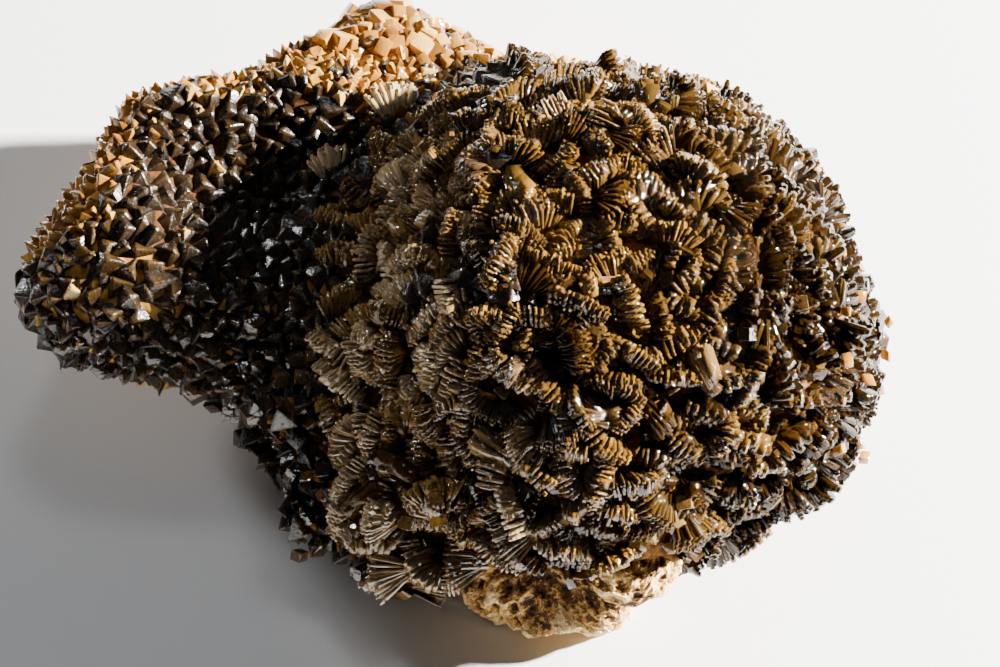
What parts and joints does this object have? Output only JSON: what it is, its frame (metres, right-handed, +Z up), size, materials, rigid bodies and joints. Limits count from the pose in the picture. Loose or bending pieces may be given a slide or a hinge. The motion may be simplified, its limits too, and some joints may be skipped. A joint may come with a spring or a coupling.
{
  "type": "calcite specimen",
  "caption": "Hand-sized mineral specimen: brown calcite crust with a dome of cockscomb fans and a wing of dog teeth, grown on pale limestone matrix.",
  "frame": {"origin": "middle of the specimen's footprint, on the surface that it rests on", "axes": "+X along the specimen's length, from the wing of dog teeth to the dome; +Y towards the far edge in the picture; +Z up"},
  "size_m": [0.1596, 0.119, 0.0611],
  "materials": {
    "matrix_rock": "matte",
    "brown_calcite": "gloss"
  },
  "bodies": {
    "root": {"matrix": "matrix_rock", "calcite_crystals": "brown_calcite"}
  },
  "joints": []
}
